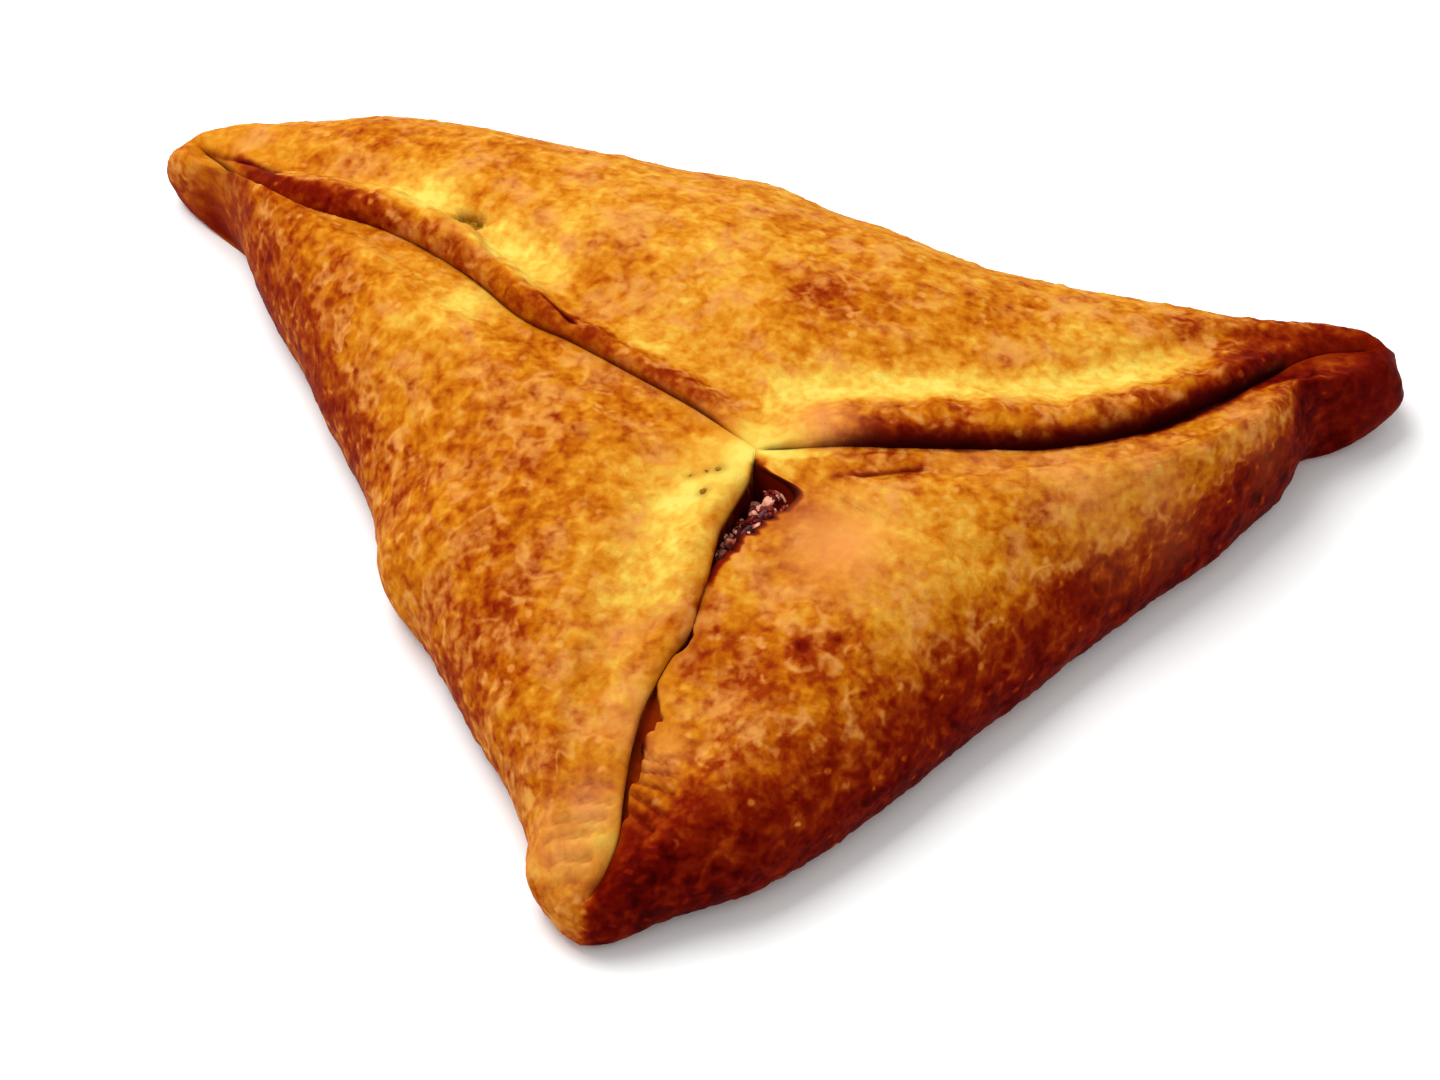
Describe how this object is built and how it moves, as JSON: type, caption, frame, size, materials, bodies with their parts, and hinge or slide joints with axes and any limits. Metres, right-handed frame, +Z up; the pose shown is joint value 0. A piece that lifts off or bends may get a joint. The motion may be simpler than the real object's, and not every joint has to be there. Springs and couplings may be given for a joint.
{
  "type": "spinach pie",
  "caption": "Triangular folded spinach pie with rolled seams over the top, one of them split open on its dark filling.",
  "frame": {"origin": "middle of the outline's box, on the plane of the flat base", "axes": "+X along the longest side, +Y from the front corner towards that side, +Z up"},
  "size_m": [0.1298, 0.0964, 0.0211],
  "materials": {
    "crust": "baked dough, satin, golden to dark brown",
    "filling": "cooked spinach and onion, dark and moist"
  },
  "bodies": {
    "root": {"crust": "crust", "filling": "filling"}
  },
  "joints": []
}
